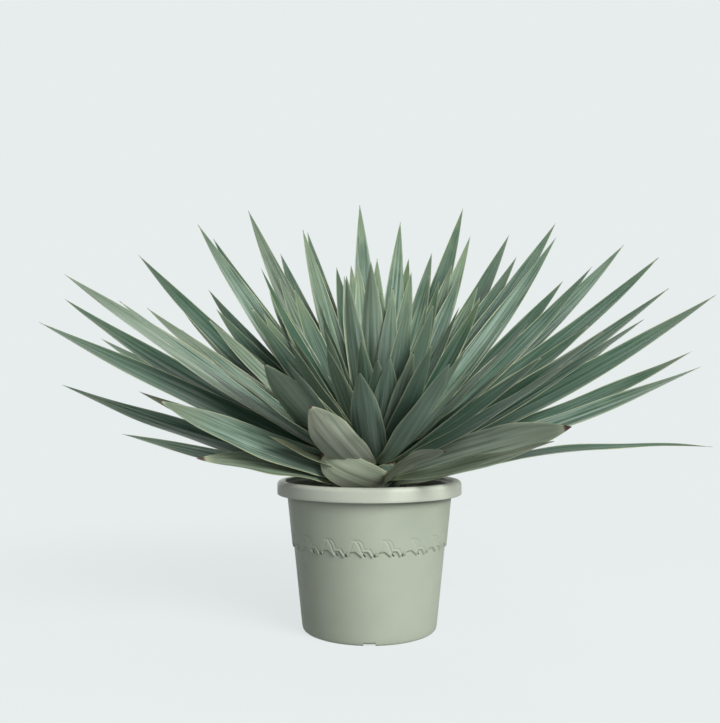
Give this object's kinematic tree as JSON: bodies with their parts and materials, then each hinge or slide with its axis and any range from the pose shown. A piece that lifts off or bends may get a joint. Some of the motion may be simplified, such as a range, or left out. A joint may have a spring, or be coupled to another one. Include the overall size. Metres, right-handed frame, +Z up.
{
  "type": "potted yucca",
  "caption": "Yucca rosette of stiff, pointed sword leaves on a short stem, planted in soil in a round grey-green plastic pot with a rolled rim.",
  "frame": {"origin": "on the pot's axis, on the surface that the pot stands on", "axes": "+Z up along the pot's axis, front towards -Y, +X to the right; the plant's stem stands 12 mm towards +X"},
  "size_m": [1.1465, 0.8339, 0.7988],
  "materials": {
    "pot_plastic": "matte moulded",
    "potting_soil": "loose, moist",
    "stem": "fibrous",
    "old_leaf": "satin, waxy",
    "leaf": "satin, waxy",
    "young_leaf": "satin, waxy"
  },
  "bodies": {
    "root": {"pot": "pot_plastic", "soil": "potting_soil", "stem": "stem", "outer_leaf_01": "old_leaf", "outer_leaf_02": "old_leaf", "outer_leaf_03": "old_leaf", "outer_leaf_04": "old_leaf", "outer_leaf_05": "old_leaf", "outer_leaf_06": "old_leaf", "outer_leaf_07": "old_leaf", "outer_leaf_08": "old_leaf", "outer_leaf_09": "old_leaf", "outer_leaf_10": "old_leaf", "outer_leaf_11": "old_leaf", "outer_leaf_12": "old_leaf", "outer_leaf_13": "old_leaf", "outer_leaf_14": "old_leaf", "spreading_leaf_01": "leaf", "spreading_leaf_02": "leaf", "spreading_leaf_03": "leaf", "spreading_leaf_04": "leaf", "spreading_leaf_05": "leaf", "spreading_leaf_06": "leaf", "spreading_leaf_07": "leaf", "spreading_leaf_08": "leaf", "spreading_leaf_09": "leaf", "spreading_leaf_10": "leaf", "spreading_leaf_11": "leaf", "spreading_leaf_12": "leaf", "spreading_leaf_13": "leaf", "spreading_leaf_14": "leaf", "spreading_leaf_15": "leaf", "spreading_leaf_16": "leaf", "spreading_leaf_17": "leaf", "rising_leaf_01": "leaf", "rising_leaf_02": "leaf", "rising_leaf_03": "leaf", "rising_leaf_04": "leaf", "rising_leaf_05": "leaf", "rising_leaf_06": "leaf", "rising_leaf_07": "leaf", "rising_leaf_08": "leaf", "rising_leaf_09": "leaf", "rising_leaf_10": "leaf", "rising_leaf_11": "leaf", "rising_leaf_12": "leaf", "rising_leaf_13": "leaf", "rising_leaf_14": "leaf", "rising_leaf_15": "leaf", "rising_leaf_16": "leaf", "heart_leaf_01": "young_leaf", "heart_leaf_02": "young_leaf", "heart_leaf_03": "young_leaf", "heart_leaf_04": "young_leaf", "heart_leaf_05": "young_leaf", "heart_leaf_06": "young_leaf", "heart_leaf_07": "young_leaf", "heart_leaf_08": "young_leaf", "heart_leaf_09": "young_leaf", "heart_leaf_10": "young_leaf"}
  },
  "joints": []
}
